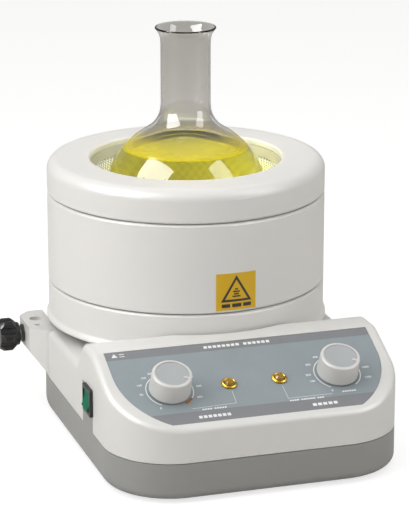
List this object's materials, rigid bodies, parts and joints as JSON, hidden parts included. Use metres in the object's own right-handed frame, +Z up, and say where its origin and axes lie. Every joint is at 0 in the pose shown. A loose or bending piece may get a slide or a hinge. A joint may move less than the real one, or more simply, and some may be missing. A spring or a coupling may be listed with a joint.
{
  "type": "round bottom flask in a stirring heating mantle",
  "caption": "Round bottom flask of yellow liquid seated in the heated well of a white stirring mantle with a sloping control panel and a support rod clamp.",
  "frame": {"origin": "on the axis of the drum and flask, at bench level under the feet", "axes": "+Z up along the flask's neck, -Y towards the control panel, +X to the right of someone facing the panel"},
  "size_m": [0.3316, 0.4126, 0.3935],
  "materials": {
    "grey_abs": "fine moulded texture",
    "rubber_black": "matt",
    "zinc_steel": "zinc plated",
    "white_abs": "smooth semi-gloss",
    "white_enamel": "semi-gloss powder coat",
    "panel_film": "satin printed film",
    "amber_metal": "polished",
    "amber_lens": "clear amber",
    "black_nylon": "fine texture",
    "brass_tags": "plain",
    "green_key": "translucent gloss",
    "dark_sheet": "dark heat resistant",
    "label_film": "printed film",
    "aluminium_sheet": "mill finish",
    "mineral_wool": "matt fibrous",
    "heater_wire": "oxidised",
    "glass_fibre_knit": "knitted glass yarn",
    "cream_board": "matt",
    "magnet_nickel": "nickel plated",
    "board_green": "solder resist",
    "white_nylon": "plain",
    "component_black": "plain",
    "transformer_iron": "varnished",
    "black_phenolic": "moulded semi-gloss",
    "clear_glass": "clear, fire polished",
    "yellow_liquid": "clear liquid",
    "ptfe_white": "smooth",
    "knob_white": "satin",
    "knob_cap_grey": "satin"
  },
  "bodies": {
    "housing": {"base_tray": "grey_abs", "rubber_feet": "rubber_black", "case_screws": "zinc_steel", "upper_housing": "white_abs", "panel_overlay": "panel_film", "lamp_bezels": "amber_metal", "lamp_lenses": "amber_lens", "lamp_bodies": "black_nylon", "pot_cases": "zinc_steel", "pot_nuts": "zinc_steel", "switch_case": "black_nylon", "switch_terminals": "brass_tags", "power_inlet": "black_nylon", "inlet_pins": "brass_tags", "inlet_screws": "zinc_steel", "drum_lower_ring": "white_enamel", "drum_middle_band": "white_enamel", "drum_top_cap": "white_enamel", "drum_liner": "dark_sheet", "drum_floor": "dark_sheet", "drum_spacers": "zinc_steel", "drum_bolts": "zinc_steel", "label_plate": "label_film", "heat_shield": "aluminium_sheet", "shield_pillars": "zinc_steel", "insulation_bowl": "mineral_wool", "heating_element": "heater_wire", "heating_well": "glass_fibre_knit", "well_retainer": "zinc_steel", "well_collar": "cream_board", "temperature_sensor": "zinc_steel", "stir_motor": "zinc_steel", "motor_bracket": "zinc_steel", "motor_screws": "zinc_steel", "motor_spacers": "zinc_steel", "control_board": "board_green", "board_standoffs": "white_nylon", "board_components": "component_black", "triac_heat_sink": "aluminium_sheet", "transformer": "transformer_iron", "terminal_block": "white_nylon", "terminal_screws": "brass_tags", "clamp_nut": "brass_tags"},
    "flask": {"flask_glass": "clear_glass", "liquid": "yellow_liquid"},
    "stir_bar": {"stir_bar_coat": "ptfe_white", "stir_bar_magnet": "magnet_nickel"},
    "rotor": {"motor_shaft": "zinc_steel", "magnet_holder": "aluminium_sheet", "drive_magnets": "magnet_nickel"},
    "temperature_dial": {"temperature_knob": "knob_white", "temperature_knob_cap": "knob_cap_grey", "temperature_knob_shaft": "zinc_steel"},
    "speed_dial": {"speed_knob": "knob_white", "speed_knob_cap": "knob_cap_grey", "speed_knob_shaft": "zinc_steel"},
    "rocker": {"rocker_button": "green_key"},
    "clamp_tip": {"clamp_pad": "brass_tags"},
    "clamp_wheel": {"clamp_screw": "zinc_steel", "clamp_handwheel": "black_phenolic"}
  },
  "joints": [
    {"name": "flask_lift", "type": "slide", "parent": "housing", "child": "flask", "axis": [0, 0, 1], "range_m": [0, 0.16]},
    {"name": "stir_bar_spin", "type": "hinge", "parent": "flask", "child": "stir_bar", "pos_m": [0, 0, 0.1432], "axis": [0, 0, 1], "continuous": true},
    {"name": "rotor_spin", "type": "hinge", "parent": "housing", "child": "rotor", "pos_m": [0, 0, 0.1], "axis": [0, 0, 1], "continuous": true},
    {"name": "temperature_turn", "type": "hinge", "parent": "housing", "child": "temperature_dial", "pos_m": [-0.0835, -0.21681, 0.0946], "axis": [0, -0.4067, 0.9135], "range_deg": [-20, 280]},
    {"name": "speed_turn", "type": "hinge", "parent": "housing", "child": "speed_dial", "pos_m": [0.0835, -0.21681, 0.0946], "axis": [0, -0.4067, 0.9135], "range_deg": [-20, 280]},
    {"name": "rocker_tip", "type": "hinge", "parent": "housing", "child": "rocker", "pos_m": [-0.1444, -0.1535, 0.0698], "axis": [0, 1, 0], "range_deg": [-22, 0]},
    {"name": "clamp_feed", "type": "slide", "parent": "housing", "child": "clamp_tip", "axis": [1, 0, 0], "range_m": [0, 0.0025]},
    {"name": "clamp_turn", "type": "hinge", "parent": "clamp_tip", "child": "clamp_wheel", "pos_m": [-0.17, 0.045, 0.076], "axis": [1, 0, 0], "range_deg": [0, 720]}
  ],
  "couplings": [
    {"joint": "stir_bar_spin", "follows": "rotor_spin", "ratio": 1},
    {"joint": "clamp_feed", "follows": "clamp_turn", "m_per_rad": 0.00019894}
  ]
}
